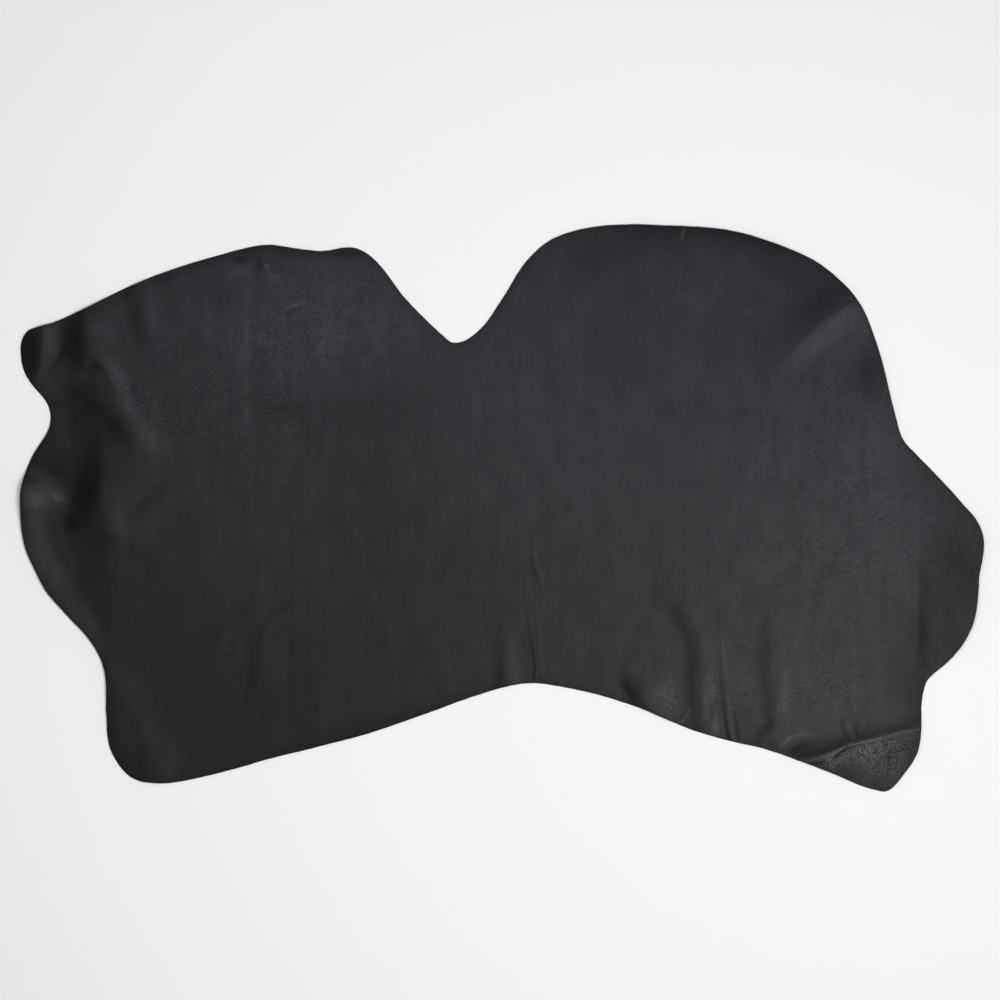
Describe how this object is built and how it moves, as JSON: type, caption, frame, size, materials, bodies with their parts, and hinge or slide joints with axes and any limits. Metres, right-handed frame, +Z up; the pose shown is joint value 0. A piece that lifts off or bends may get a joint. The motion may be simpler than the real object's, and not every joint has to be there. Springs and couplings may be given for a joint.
{
  "type": "leather hide",
  "caption": "Small whole leather hide spread out grain side up, with a deep flank notch, lobed shoulder and rump edges, low folds and a raised crease across the hind leg corner.",
  "frame": {"origin": "on the surface the hide lies on, below the middle of its box", "axes": "+X from the neck end to the tail end, +Y towards the flank notch, +Z up, out of the grain side"},
  "size_m": [1.4, 0.824, 0.0165],
  "materials": {
    "leather": "semi-matt black, fine pebbled grain"
  },
  "bodies": {
    "root": {"hide": "leather"}
  },
  "joints": []
}
